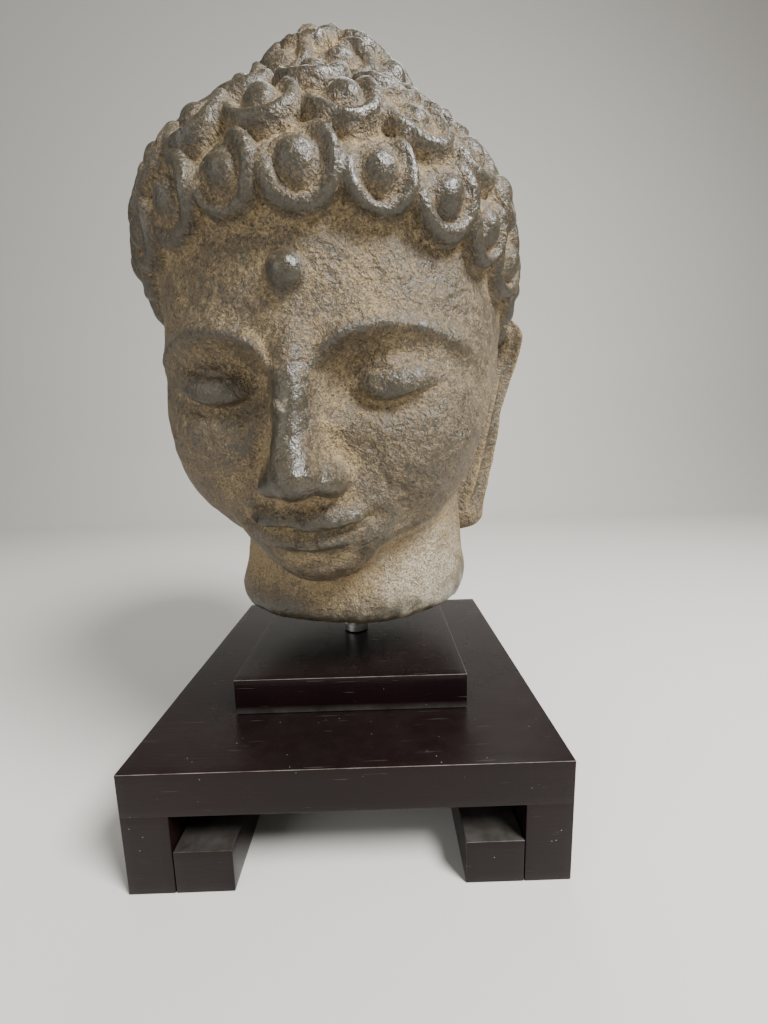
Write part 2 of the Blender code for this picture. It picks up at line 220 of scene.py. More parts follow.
carving = {
    "drawnTop": 246.5,
    "lean": math.radians(11),
    "yaw": math.radians(6),
    "midSkull": (-2.0, -10.3, 121.5),
    "skullMiddle": (0, 7.0, 10.7),
    "skull": (74.5, 86.0, 77.0),
    "hairCapMiddle": (0, 6.0, 41.4),
    "hairCap": (70.3, 79.3, 42.0),
    "hairline": (-52.0, 35.0),
    "hairlineSweep": 0.62,
    "hairDepth": 3.6,
    "hairRise": (-2.0, 16.0),
    "crown": (0, 18.0, 87.0),
    "bump": (38.5, 38.5, 31.5),
    "bumpMargin": 3.0,
    "hairFillet": 12,
    "firstReach": 85.0,
    "longestStep": 20,
    "stepShare": 0.85,
    "columns": 330,
    "rows": 262,
    "crowding": (0.35, 0.15),
    "handUneven": 0.55,
    "pitting": 0.2,
}
neckShape = {
    "radius": 54.0,
    "setBack": 2,
    "top": 80,
    "topFillet": 10,
    "jawFillet": 9,
    "footFillet": 10,
    "footSwell": (7, 13, 4),
    "sideBulge": (26, 20, 3.2),
    "bulgeSide": 50,
    "rodHole": 45.3,
    "rodGap": 0.3,
    "cutRadius": 24,
    "cutHeight": 20,
    "cutShares": (0.2, 0.4, 0.6, 0.8, 0.94),
    "holeDepths": (0.0, 0.6, 15, 30),
}
# the middle and radii of each rounded form, and the width of the fillet where it meets the rest
forms = {
    "upperFace": ((0, -16, -22), (65, 63, 63), 20),
    "jaw": ((0, -34, -54), (45, 42, 30), 18),
    "chin": ((0, -66, -72), (17, 14, 13), 15),
    "cheeks": ((34, -49, -32), (24, 24, 25), 16),
    "eyeHollows": ((29, -87, -10), (23, 18, 12), 9),
    "lids": ((29, -62, -12), (17.5, 15, 11.6), 3),
    "noseTip": ((0, -95, -37.5), (6.9, 8, 6.6), 5),
    "noseWings": ((9.2, -86, -40), (5.6, 8.5, 5.2), 4),
    "nostrils": ((4.9, -90, -46.5), (2.6, 4.2, 2.6), 2),
    "mouthMound": ((0, -69, -58), (27, 14, 17), 12),
    "upperLip": ((7, -81.6, -54.4), (13.5, 5.6, 3.7), 2.5),
    "lipBow": ((0, -82.6, -55.8), (5.5, 4.6, 3.2), 2.5),
    "lowerLip": ((0, -80.6, -62.4), (14.5, 7, 5.2), 3),
    "dot": ((0, -78, 21), (6.2, 6.2, 6.2), 1.2),
}
# lines of the face; a triple is a bell's place, width and height
features = {
    "slitHeight": -14.6,
    "slitDip": (28, 9, 2),
    "slitCurve": (29, 0.01),
    "slitSoftness": 0.35,
    "lowerLidSetBack": 3.0,
    "lowerLidRim": (-2.9, 1.3, 1.3),
    "lidCrease": (9.5, 1.2, 1),
    "browHeight": 6.5,
    "browCurve": (31, 0.0125),
    "browDip": (0, 7, 9),
    "browRidge": (0, 3.2, 2.8),
    "browSpan": (30, 27),
    "browFront": -30,
    "noseBody": ((0, -74, 2), (0, -80, -36), 6.5, 11),
    "noseRidge": ((0, -81, 0), (0, -94, -34), 4.2, 6.2),
    "noseRidgeFillet": 7,
    "noseFillet": 5,
    "partingHeight": -58.4,
    "partingCurve": 0.007,
    "partingDip": (0, 5, 0.8),
    "partingCut": (0, 1.1, 2.6),
    "partingSpan": 21.5,
    "mouthCorner": (23.5, -56),
    "cornerDent": (0, 4, 1.6),
    "lipGroove": (0, 2.4, 1.1),
    "lipGrooveHeight": (-49.8, 3),
    "chinCrease": (-70.5, 3.5, 1.6),
    "chinCreaseWidth": 15,
    "mouthFront": -50,
}
curlShape = {
    "spacing": 22.5,
    "rowShare": 0.93,
    "firstRow": 0.5,
    "firstCurl": 0.3,
    "leastRoom": 0.35,
    "bearings": 90,
    "climbSteps": 48,
    "bumpRings": ((66, 10, 0.5), (33, 6, -0.13)),
    "reach": 0.7,
    "bossRadius": 6.6,
    "bossHeight": 5.6,
    "bossFullness": 0.6,
    "lockRadius": 9.1,
    "lockHalfWidth": 3.1,
    "lockHeight": 5.0,
    "lockFullness": 0.48,
    "groove": 2.3,
    "grooveEdge": 1.5,
    "lockOpening": 0.12,
    "lockStart": (0.35, 0.15),
    "lockEnd": (4.9, 0.25),
    "uneven": 0.06,
    "unevenTurn": 3,
}
ear = {
    "columns": 64,
    "rows": 90,
    "top": 17,
    "height": 111,
    "rootSide": ((0, 0.35, 0.7, 1), (62, 60, 50, 42)),
    "rootBack": ((0, 0.4, 1), (8, 4, 2)),
    "rimSide": ((0, 0.12, 0.5, 1), (86, 90, 79, 72)),
    "rimBack": ((0, 0.25, 0.6, 1), (26, 31, 24, 10)),
    "roundedTop": 0.1,
    "roundedFoot": 0.08,
    "leastReach": 0.35,
    "halfThickness": 4.4,
    "squareness": 0.45,
    "lobe": (0.93, 0.14),
    "bowl": (17, -14, 5.5, 8.0),
    "bowlFall": (0.18, 0.13),
    "lobeSwell": (8, 9, 1.8),
    "lobeSwellFall": (0.95, 0.1),
    "hollowSteps": 8,
    "weathering": 0.5,
}
# each ridge: how far in from the rim, how it drifts down the ear, its width and height, and where it starts
earRidges = (
    (3.0, 0, 2.3, 3.0, (-1, 1)),
    (10.2, 3, 2.0, 2.2, (0.02, 0.15)),
    (16, -2, 1.8, 1.5, (0.4, 0.1)),
)
wearing = {
    "hollowSteps": (20, 60),
    "hollowShares": (0.85, 0.15),
    "lid": (29, -77, -10.0),
    "lidSize": (17, 14, 8.5),
    "lidFade": (0.4, 1.4, 1.1),
    "dot": (0, -80, 21),
    "dotSize": (6.5, 9, 6.5),
    "dotFade": (1.0, 2.2, 1.8),
    # how far the lids and the dot, rubbed smooth, are lifted out of the hollows
    "rubbedAndPaintedLight": 1.6,
    "earthTop": (60, 25),
    "earthOut": (11, 4),
    "earthy": 1.3,
    # a patch of painted light on the neck at the viewer's right
    "paintedNeckLight": (40, -36, 22),
    "paintedNeckLightSize": (30, 30, 24),
    "paintedNeckLightShare": 0.8,
    "chip": (-2.0, -91.5, -15.0),
    "chipSize": (1.9, 4.0, 1.6),
    "chipDepth": 0.6,
}


def ellipsoid(p, centre, radii):
    # near enough the distance to an ellipsoid: k(k - 1) over the slope, k being 1 on its skin
    radii = np.array(radii, float)
    q = (p - np.array(centre, float)) / radii
    skin = np.sqrt((q * q).sum(-1))
    slope = np.sqrt(((q / radii) ** 2).sum(-1))
    return skin * (skin - 1) / np.maximum(slope, 1e-9)


def taper(p, start, end, startRadius, endRadius):
    # distance to a round bar whose radius changes along it
    start, end = np.array(start, float), np.array(end, float)
    along = end - start
    t = np.clip(((p - start) @ along) / (along @ along), 0, 1)
    away = np.linalg.norm(p - start - t[..., None] * along, axis=-1)
    return away - startRadius - (endRadius - startRadius) * t


def blend(a, b, width):
    # the nearer of two distances, with a fillet of about the width where they meet
    h = np.maximum(width - np.abs(a - b), 0) / width
    return np.minimum(a, b) - h * h * width / 4


def carve(a, b, width):
    # the first distance with the second cut out of it, its edge softened
    return -blend(-a, b, width)


def grown(d, q, name):
    # the distance with one of the rounded forms grown onto it
    middle, radii, fillet = forms[name]
    return blend(d, ellipsoid(q, middle, radii), fillet)


def sunk(d, q, name):
    # the distance with one of the rounded forms cut out of it
    middle, radii, fillet = forms[name]
    return carve(d, ellipsoid(q, middle, radii), fillet)


def hump(t, width):
    # a bell that is 1 at zero and falls away over the width
    return np.exp(-(t / width) ** 2)


def bell(t, shape):
    # a bell of a given place, width and height
    place, width, height = shape
    return height * hump(t - place, width)


def ease(t, stations, values):
    # a smooth curve through values at stations, level at each of them
    out = np.full(np.shape(t), values[0], float)
    for a, b, low, high in zip(stations, stations[1:], values, values[1:]):
        share = np.clip((t - a) / (b - a), 0, 1)
        out = np.where(t >= a, low + (high - low) * share * share * (3 - 2 * share), out)
    return out


def toNeck(p):
    # the bowed head's points in the upright neck's frame: a turn about x, then a shift
    c, s = math.cos(carving["lean"]), math.sin(carving["lean"])
    x, y, z = p[..., 0], p[..., 1], p[..., 2]
    return np.stack([x, c * y - s * z, s * y + c * z], -1) + np.array(carving["midSkull"])


def hairline(p):
    # height of the hair's edge by bearing: level over the forehead, falling behind the ears to the nape
    bearing = np.arctan2(np.abs(p[..., 0]), -p[..., 1])
    low, high = carving["hairline"]
    return low + (high - low) * (0.5 + 0.5 * np.cos(bearing)) ** carving["hairlineSweep"]


def eyes(d, q, side, z):
    # hollows under arched brows, and full lids nearly closed: the lower lid is set back under the slit
    d = sunk(d, q, "eyeHollows")
    middle, radii, fillet = forms["lids"]
    lid = ellipsoid(q, middle, radii)
    place, curve = features["slitCurve"]
    slit = features["slitHeight"] - bell(side, features["slitDip"]) + curve * (side - place) ** 2
    below = 1 / (1 + np.exp(np.clip((z - slit) / features["slitSoftness"], -40, 40)))
    lid = lid + features["lowerLidSetBack"] * below - bell(z - slit, features["lowerLidRim"]) * below
    d = blend(d, lid + bell(z - slit, features["lidCrease"]), fillet)
    place, curve = features["browCurve"]
    brow = features["browHeight"] - curve * (side - place) ** 2 - bell(side, features["browDip"])
    place, reach = features["browSpan"]
    ridge = bell(z - brow, features["browRidge"]) / (1 + ((side - place) / reach) ** 12)
    return d - (q[..., 1] < features["browFront"]) * ridge


def nose(d, q):
    # a straight nose: its body, its narrow ridge, the tip and the wings
    body = taper(q, *features["noseBody"])
    body = blend(body, taper(q, *features["noseRidge"]), features["noseRidgeFillet"])
    body = grown(grown(body, q, "noseTip"), q, "noseWings")
    return sunk(blend(d, body, features["noseFillet"]), q, "nostrils")


def mouth(d, q, side, z):
    # full closed lips on a soft mound, with the furrows above and below them
    for name in ("mouthMound", "upperLip", "lipBow", "lowerLip"):
        d = grown(d, q, name)
    parting = features["partingHeight"] + features["partingCurve"] * side ** 2
    parting = parting - bell(side, features["partingDip"])
    dents = bell(z - parting, features["partingCut"]) / (1 + (side / features["partingSpan"]) ** 10)
    cornerSide, cornerHeight = features["mouthCorner"]
    dents = dents + bell(np.hypot(side - cornerSide, z - cornerHeight), features["cornerDent"])
    height, width = features["lipGrooveHeight"]
    dents = dents + bell(side, features["lipGroove"]) * hump(z - height, width)
    dents = dents + bell(z, features["chinCrease"]) * hump(side, features["chinCreaseWidth"])
    return d + (q[..., 1] < features["mouthFront"]) * dents


def neckDrum(neck):
    # a round drum, fuller near its foot and, lower down, on the viewer's right; its top is rounded off
    x, y, z = neck[..., 0], neck[..., 1] - neckShape["setBack"], neck[..., 2]
    drum = np.hypot(x, y) - neckShape["radius"] - bell(z, neckShape["footSwell"])
    drum = drum - bell(z, neckShape["sideBulge"]) * np.clip(x / neckShape["bulgeSide"], 0, 1)
    return -blend(-drum, neckShape["top"] - z, neckShape["topFillet"])


def headField(p):
    # distance to the head before its curls: soft unions of skull, face, jaw, chin and cheeks, then the
    # features and the dot; the hair is full on top and swells at its edge, and the neck is cut off level
    x, y, z = p[..., 0], p[..., 1], p[..., 2]
    side = np.abs(x)
    q = np.stack([side, y, z], -1)
    d = ellipsoid(q, carving["skullMiddle"], carving["skull"])
    for name in ("upperFace", "jaw", "chin", "cheeks"):
        d = grown(d, q, name)
    d = mouth(nose(eyes(d, q, side, z), q), q, side, z)
    d = grown(d, q, "dot")
    d = blend(d, ellipsoid(q, carving["hairCapMiddle"], carving["hairCap"]), carving["hairFillet"])
    d = d - ease(z - hairline(p), carving["hairRise"], (0, carving["hairDepth"]))
    d = blend(d, ellipsoid(q, carving["crown"], carving["bump"]), carving["hairFillet"])
    neck = toNeck(p)
    d = blend(d, neckDrum(neck), neckShape["jawFillet"])
    return -blend(-d, neck[..., 2], neckShape["footFillet"])


def alongRays(directions, rounds=26):
    # where rays from mid-skull leave the head: each steps on by most of the distance that is left
    reach = np.full(directions.shape[:-1], carving["firstReach"])
    longest = carving["longestStep"]
    for _ in range(rounds):
        left = headField(reach[..., None] * directions)
        reach = reach - np.clip(left, -longest, longest) * carving["stepShare"]
    return reach[..., None] * directions


def fanOverHair(bearing):
    # lines that climb from the hairline to the crown, the run along each, and its room below the bump
    skull, middle = np.array(carving["skull"]), np.array(carving["skullMiddle"])
    edge = np.stack([skull[0] * np.sin(bearing), -skull[1] * np.cos(bearing), 0 * bearing], -1)
    height = hairline(edge)
    edge = edge * np.sqrt(1 - ((height - middle[2]) / skull[2]) ** 2)[:, None] + middle
    edge[:, 2] = height
    edge /= np.linalg.norm(edge, axis=1)[:, None]
    crown, bump = np.array(carving["crown"]), np.array(carving["bump"])
    top = crown / np.linalg.norm(crown)
    angle = np.arccos(edge @ top)[None, :, None]
    share = np.linspace(0, 1, curlShape["climbSteps"])[:, None, None]
    fan = alongRays((np.sin((1 - share) * angle) * edge + np.sin(share * angle) * top) / np.sin(angle))
    run = np.linalg.norm(np.diff(fan, axis=0), axis=-1).cumsum(axis=0)
    run = np.concatenate([np.zeros((1, len(bearing))), run])
    onBump = np.linalg.norm((fan - crown) / (bump + carving["bumpMargin"]), axis=-1) < 1
    return fan, run, run[onBump.argmax(axis=0), np.arange(len(bearing))]


def curlPlaces():
    # each curl's middle and the point it hangs from: rows up from the hairline, then the bump's rings
    bearings, spacing, rowShare = curlShape["bearings"], curlShape["spacing"], curlShape["rowShare"]
    fan, run, room = fanOverHair(np.linspace(0, 2 * np.pi, bearings, endpoint=False))
    crown, bump = np.array(carving["crown"]), np.array(carving["bump"])
    places = []
    for row in range(int(room.max() / (spacing * rowShare))):
        climb = spacing * (curlShape["firstRow"] + rowShare * row)
        line = np.array([[np.interp(climb, run[:, i], fan[:, i, axis]) for axis in range(3)]
                         for i in range(bearings)])
        line = np.concatenate([line, line[:1]])
        along = np.concatenate([[0], np.linalg.norm(np.diff(line, axis=0), axis=1).cumsum()])
        count = round(along[-1] / spacing)
        for i in range(count):
            at = (i + curlShape["firstCurl"] + 0.5 * (row % 2)) / count * along[-1] % along[-1]
            if np.interp(at, along, np.append(room, room[0])) - climb > spacing * curlShape["leastRoom"]:
                places.append((np.array([np.interp(at, along, line[:, axis]) for axis in range(3)]), crown))
    summit = crown + (0, 0, bump[2])
    for tilt, count, first in curlShape["bumpRings"]:
        down = math.radians(tilt)
        for i in range(count):
            turn = 2 * np.pi * (i + first) / count
            out = (math.sin(down) * math.sin(turn), -math.sin(down) * math.cos(turn), math.cos(down))
            places.append((crown + bump * out, summit + (0, 0, bump[2])))
    places.append((summit, summit + (0, bump[1], 0)))
    return places


def curlRelief(points, normals):
    # height over the hair of a round boss, and of a lock that winds from its top round its right and under it
    chance = np.random.default_rng(7)
    relief = np.zeros(points.shape[:-1])
    start, startFade = curlShape["lockStart"]
    end, endFade = curlShape["lockEnd"]
    for middle, hook in curlPlaces():
        size, tilt, lift = 1 + curlShape["uneven"] * chance.normal(size=3)
        distance = np.linalg.norm(points - middle, axis=-1)
        near = distance < curlShape["reach"] * curlShape["spacing"]
        normal = normals[np.unravel_index(distance.argmin(), distance.shape)]
        up = (hook - middle) - ((hook - middle) @ normal) * normal
        up /= np.linalg.norm(up)
        across = (points[near] - middle) @ np.cross(up, normal)
        above = (points[near] - middle) @ up
        out = np.hypot(across, above) / size
        turn = (np.arctan2(across, above) + curlShape["unevenTurn"] * (tilt - 1)) % (2 * np.pi)
        boss = np.clip(1 - (out / curlShape["bossRadius"]) ** 2, 0, 1) ** curlShape["bossFullness"]
        lock = (out - curlShape["lockRadius"] - curlShape["lockOpening"] * turn) / curlShape["lockHalfWidth"]
        lock = curlShape["lockHeight"] * np.clip(1 - lock ** 2, 0, 1) ** curlShape["lockFullness"]
        lock /= 1 + np.exp((start - turn) / startFade)
        lock /= 1 + np.exp((turn - end) / endFade)
        groove = np.clip((curlShape["lockRadius"] - out) / curlShape["grooveEdge"], 0, 1)
        curl = np.maximum(curlShape["bossHeight"] * boss, lock)
        curl = np.maximum(curl, curlShape["groove"] * groove)
        relief[near] = np.maximum(relief[near], lift * curl)
    return relief


def normalsOf(rings):
    # across each ring times down the rows; the two poles are given
    around = np.roll(rings, -1, 1) - np.roll(rings, 1, 1)
    normals = np.cross(np.gradient(rings, axis=0), around)
    normals[0], normals[-1] = (0, 0, 1), (0, 0, -1)
    return normals / np.maximum(np.linalg.norm(normals, axis=-1), 1e-12)[..., None]


def hollowOf(rings, normals, steps):
    # how far each point lies below the evened surface, in millimetres: hollows are above zero
    return ((evened(rings, steps) - rings) * normals).sum(-1)


def weathered(rings, normals, share=1.0):
    # uneven hand work and pitting, both along the surface's normals
    uneven = carving["handUneven"] * (0.6 * waves(rings, 38, 1) + 0.4 * waves(rings, 17, 2))
    pits = waves(rings, 4.5, 3)
    pits = np.minimum(pits + 0.3, 0) + 0.45 * waves(rings, 7.5, 4)
    return rings + share * (uneven + carving["pitting"] * pits)[..., None] * normals


def distanceIn(points, middle, size):
    # distance from a middle, counted in the sizes of an ellipsoid round it
    return np.linalg.norm((points - wearing[middle]) / wearing[size], axis=-1)


def faded(away, shape):
    # a share that is full near a middle, then falls evenly to none
    full, start, steepness = shape
    return full * np.clip(start - steepness * away, 0, 1)


def rubbedSpots(rings):
    # the lids and the dot on the forehead, which hands have rubbed smoother than their height alone would
    side = np.concatenate([np.abs(rings[..., :1]), rings[..., 1:]], -1)
    lids = faded(distanceIn(side, "lid", "lidSize"), wearing["lidFade"])
    return np.maximum(lids, faded(distanceIn(rings, "dot", "dotSize"), wearing["dotFade"]))


def earthyNeck(neck):
    # the neck below the jaw, which nobody rubs: 1 on its drum, 0 on the chin and above
    out = np.hypot(neck[..., 0], neck[..., 1]) - neckShape["radius"]
    (top, topFade), (edge, edgeFade) = wearing["earthTop"], wearing["earthOut"]
    return np.clip((top - neck[..., 2]) / topFade, 0, 1) * np.clip((edge - out) / edgeFade, 0, 1)


def chipped(rings):
    # a small ragged chip on the ridge of the nose, 1 inside and 0 outside
    return np.clip(1.5 - distanceIn(rings, "chip", "chipSize") + 0.35 * waves(rings, 2.5, 12), 0, 1)


def paintedNeckLight(neck):
    # a paler patch of painted light on the neck at the viewer's right, fading out raggedly
    away = distanceIn(neck, "paintedNeckLight", "paintedNeckLightSize")
    return wearing["paintedNeckLightShare"] * np.clip(1.25 - away + 0.25 * waves(neck, 9, 11), 0, 1)


def headRings():
    # the head as rings from the crown down to the neck's cut; rows and columns crowd over the face
    columnCrowding, rowCrowding = carving["crowding"]
    turn = np.linspace(-np.pi, np.pi, carving["columns"], endpoint=False)
    turn = turn - columnCrowding * np.sin(turn)
    fall = np.linspace(0, np.pi, carving["rows"] + 2)
    turn, fall = np.meshgrid(turn, fall + rowCrowding * np.sin(2 * fall))
    rings = alongRays(np.stack([np.sin(fall) * np.sin(turn), -np.sin(fall) * np.cos(turn), np.cos(fall)], -1))
    normals = normalsOf(rings)
    hair = rings[..., 2] > hairline(rings)
    rings = rings + curlRelief(rings, normals)[..., None] * normals
    normals = normalsOf(rings)
    hollow = sum(share * hollowOf(rings, normals, steps)
                 for share, steps in zip(wearing["hollowShares"], wearing["hollowSteps"]))
    hollow = hollow - wearing["rubbedAndPaintedLight"] * rubbedSpots(rings) + wearing["earthy"] * earthyNeck(toNeck(rings))
    chip = chipped(rings)
    return weathered(rings, normals) - wearing["chipDepth"] * chip[..., None] * normals, hollow, hair, chip


def rounding(toEnd, share):
    # a quarter circle that rises from 0 at an end to 1 at a share of the whole length
    return np.sqrt(1 - np.clip(1 - toEnd / share, 0, 1) ** 2)


def earRelief(inward, fall):
    # ridges that fade out above the lobe, the bowl between them, and the swell of the lobe
    lobe, lobeFade = ear["lobe"]
    aboveLobe = np.clip((lobe - fall) / lobeFade, 0, 1)
    relief = 0
    for place, drift, width, height, (first, fade) in earRidges:
        started = np.clip((fall - first) / fade, 0, 1)
        relief = relief + height * hump(inward - place - drift * fall, width) * started * aboveLobe
    place, drift, width, depth = ear["bowl"]
    bowlAt, bowlHeight = ear["bowlFall"]
    relief = relief - depth * hump(inward - place - drift * fall, width) * hump(fall - bowlAt, bowlHeight)
    swellAt, swellHeight = ear["lobeSwellFall"]
    return relief + bell(inward, ear["lobeSwell"]) * hump(fall - swellAt, swellHeight)


def earRings(side):
    # an ear as level sections: out along its front face from the root, round the rim and back
    fall = 0.5 - 0.5 * np.cos(np.linspace(0, np.pi, ear["rows"] + 2))
    height = ear["top"] - ear["height"] * fall
    root = np.stack([ease(fall, *ear["rootSide"]), ease(fall, *ear["rootBack"])], -1)
    rim = np.stack([ease(fall, *ear["rimSide"]), ease(fall, *ear["rimBack"])], -1)
    swell = (rounding(fall, ear["roundedTop"]) * rounding(1 - fall, ear["roundedFoot"]))[:, None]
    width = np.linalg.norm(rim - root, axis=1)[:, None]
    outward = (rim - root) / width
    turn = np.linspace(0, 2 * np.pi, ear["columns"], endpoint=False)
    share = np.broadcast_to(0.5 - 0.5 * np.cos(turn), (len(fall), len(turn)))
    face = np.sign(np.sin(turn)) * np.abs(np.sin(turn)) ** ear["squareness"]
    relief = earRelief((1 - share) * width, fall[:, None])
    thick = face * ear["halfThickness"] * swell + relief * np.clip(face, 0, 1) ** 0.5 * swell
    reach = width * (0.5 + (share - 0.5) * (ear["leastReach"] + (1 - ear["leastReach"]) * swell))
    x = root[:, :1] + reach * outward[:, :1] + thick * outward[:, 1:]
    y = root[:, 1:] + reach * outward[:, 1:] - thick * outward[:, :1]
    rings = np.stack([side * x, y, np.broadcast_to(height[:, None], x.shape)], -1)
    normals = normalsOf(rings) * -side
    return weathered(rings, normals, ear["weathering"]), hollowOf(rings, normals, ear["hollowSteps"])


def rodBore():
    # the radius in millimetres of a hole that clears the rod by a little all round
    low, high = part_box("mounting_rod")
    return 500 * (high[0] - low[0]) + neckShape["rodGap"]


def bored(rings, layers):
    # the rows near the bottom pole are drawn in, each towards the rod's axis, then run up the blind hole
    neck = toNeck(rings)
    distance = np.hypot(neck[..., 0], neck[..., 1])
    nearRod = distance.min(axis=1) < neckShape["cutRadius"]
    kept = int(np.argmax(nearRod & (neck[..., 2].max(axis=1) < neckShape["cutHeight"])))
    rim = neck[kept - 1]
    mouth = rim * (rodBore() / distance[kept - 1][:, None])
    rows = [rim * (1 - share) + mouth * share for share in neckShape["cutShares"]]
    mouth[:, 2] = rim[:, 2].mean()
    rows += [mouth + (0, 0, depth) for depth in neckShape["holeDepths"] + (neckShape["rodHole"],)]
    pole = np.broadcast_to(np.array((0, 0, neckShape["rodHole"])), mouth.shape)
    neck = np.concatenate([neck[:kept], np.array(rows), pole[None]])
    layers = [np.concatenate([layer[:kept], np.zeros((len(rows) + 1, layer.shape[1]))]) for layer in layers]
    return neck, layers


def placed(neck):
    # from the drawing to metres: onto the neck's cut over the rod, turned a little to the left
    low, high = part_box("buddha_head")
    scale = (high[2] - low[2]) / carving["drawnTop"]
    rod = centreOf("mounting_rod")
    c, s = math.cos(carving["yaw"]), math.sin(carving["yaw"])
    x, y, z = neck[..., 0] * scale, neck[..., 1] * scale, neck[..., 2] * scale
    return np.stack([c * x + s * y + rod[0], -s * x + c * y + rod[1], z + low[2]], -1)


def shell(neck, layers, backwards):
    # closed rings: every row but the first and last as rings, then those two rows as the poles
    points = np.concatenate([placed(neck[1:-1]).reshape(-1, 3), placed(neck[[0, -1], 0])])
    layers = [np.concatenate([layer[1:-1].ravel(), layer[[0, -1], 0]]) for layer in layers]
    faces = [face[::-1] if backwards else face for face in ringFaces(len(neck) - 2, neck.shape[1])]
    return points, faces, layers


def makeHead(material):
    # the head's closed shell and one for each ear, joined into one mesh
    rings, hollow, hair, chip = headRings()
    # the third layer holds the chip and the patch of painted light on the neck
    neck, layers = bored(rings, [hollow, hair.astype(float), np.maximum(paintedNeckLight(toNeck(rings)), chip)])
    shells = [shell(neck, layers, False)]
    for side in (-1, 1):
        rings, hollow = earRings(side)
        nothing = np.zeros(hollow.shape)
        shells.append(shell(toNeck(rings), [hollow, nothing, nothing], side < 0))
    starts = np.cumsum([0] + [len(points) for points, _, _ in shells])
    faces = [tuple(int(start + i) for i in face)
             for start, (_, shellFaces, _) in zip(starts, shells) for face in shellFaces]
    points = np.concatenate([points for points, _, _ in shells])
    values = {name: np.concatenate([layers[i] for _, _, layers in shells])
              for i, name in enumerate(("hollow", "hair", "wornAndPaintedLight"))}
    newPiece("buddhaHead", points, faces, material, ["buddha_head"], values)


# The stand of black lacquered boards

stand = {
    "arris": 0.4,
    "arrisRows": (0, 18, 34, 45),
    "step": 4.0,
    "warp": 0.06,
    # how pale the arrises get, strongest along the top: partly wear and partly a painted highlight
    "fullWearAndHighlight": 0.29,
    "sideWearAndHighlight": 0.3,
    "levelSkin": 0.2,
}
boards = {
    "standTopBoard": {"node": "stand_top_board", "dust": 0.06, "topWearAndHighlight": 1.0, "footWearAndHighlight": 0.1},
    "leftSideBoard": {"node": "left_side_board", "rise": 0.9},
    "rightSideBoard": {"node": "right_side_board", "rise": 0.9},
    "leftFootBar": {"node": "left_foot_bar", "dust": 0.6, "topWearAndHighlight": 0.5},
    "rightFootBar": {"node": "right_foot_bar", "dust": 0.6, "topWearAndHighlight": 0.5},
    "plinthBlock": {"node": "plinth_block", "dust": 0.05, "topWearAndHighlight": 1.0, "footWearAndHighlight": 1.0, "footDust": 0.65},
}


def stationsOf(low, high):
    # places along one side of a board: crowded over the rounded arrises, even between them
    inset = stand["arris"] * (1 - np.tan(np.radians(stand["arrisRows"])))[::-1]
    middle = np.linspace(stand["arris"], high - low - stand["arris"], int((high - low) / stand["step"]) + 2)
    return low + np.concatenate([inset[:-1], middle, high - low - inset[:-1][::-1]])


def makeBoard(name, material, node, dust=0.0, topWearAndHighlight=0.0, footWearAndHighlight=0.4, footDust=0.0, rise=0.0):
    # a rounded box: each point of a box's skin is drawn in to lie the arris radius from a smaller box;
    # a board with a rise runs up into the one above it, which closes the joint
    low, high = (1000 * np.array(corner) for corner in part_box(node))
    high[2] += rise
    stations = [stationsOf(a, b) for a, b in zip(low, high)]
    counts = [len(places) for places in stations]
    faces = []
    for axis in range(3):
        u, v = (axis + 1) % 3, (axis + 2) % 3
        i, j = np.meshgrid(np.arange(counts[u]), np.arange(counts[v]), indexing="ij")
        for end in (0, counts[axis] - 1):
            cell = np.empty(i.shape + (3,), int)
            cell[..., axis], cell[..., u], cell[..., v] = end, i, j
            quads = np.stack([cell[:-1, :-1], cell[1:, :-1], cell[1:, 1:], cell[:-1, 1:]], 2)
            quads = quads.reshape(-1, 4, 3)
            faces.append(quads if end else quads[:, ::-1])
    cells = np.concatenate(faces).reshape(-1, 3)
    corners, index = np.unique(cells, axis=0, return_inverse=True)
    skin = np.stack([stations[axis][corners[:, axis]] for axis in range(3)], -1)
    inner = np.clip(skin, low + stand["arris"], high - stand["arris"])
    away = skin - inner
    away /= np.linalg.norm(away, axis=1)[:, None]
    # a pale mark along the arrises, strongest on top edges: partly wear and partly a painted highlight
    wearAndHighlight = (1 - np.abs(away).max(axis=1)) / stand["fullWearAndHighlight"]
    below = np.where(away[:, 2] < -stand["levelSkin"], footWearAndHighlight, stand["sideWearAndHighlight"])
    wearAndHighlight = wearAndHighlight * np.where(away[:, 2] > stand["levelSkin"], topWearAndHighlight, below)
    warp = stand["warp"] * np.clip((1 + waves(inner, 60, 5)) / 2, 0, 1)
    points = inner + stand["arris"] * away - warp[:, None] * away
    atFoot = footDust * (skin[:, 2] < low[2] + 2 * stand["arris"]) * (away[:, 2] > -0.5)
    layers = {"wearAndHighlight": wearAndHighlight, "dust": dust * np.clip(away[:, 2], 0, 1) + atFoot}
    newPiece(name, points / 1000, index.reshape(-1, 4).tolist(), material, [node], layers)


# The rod and its collar, turned in steel

steelware = {
    "sides": 96,
    "chamfer": 0.35,
    "stations": (0, 0.04, 0.5, 0.96),
}


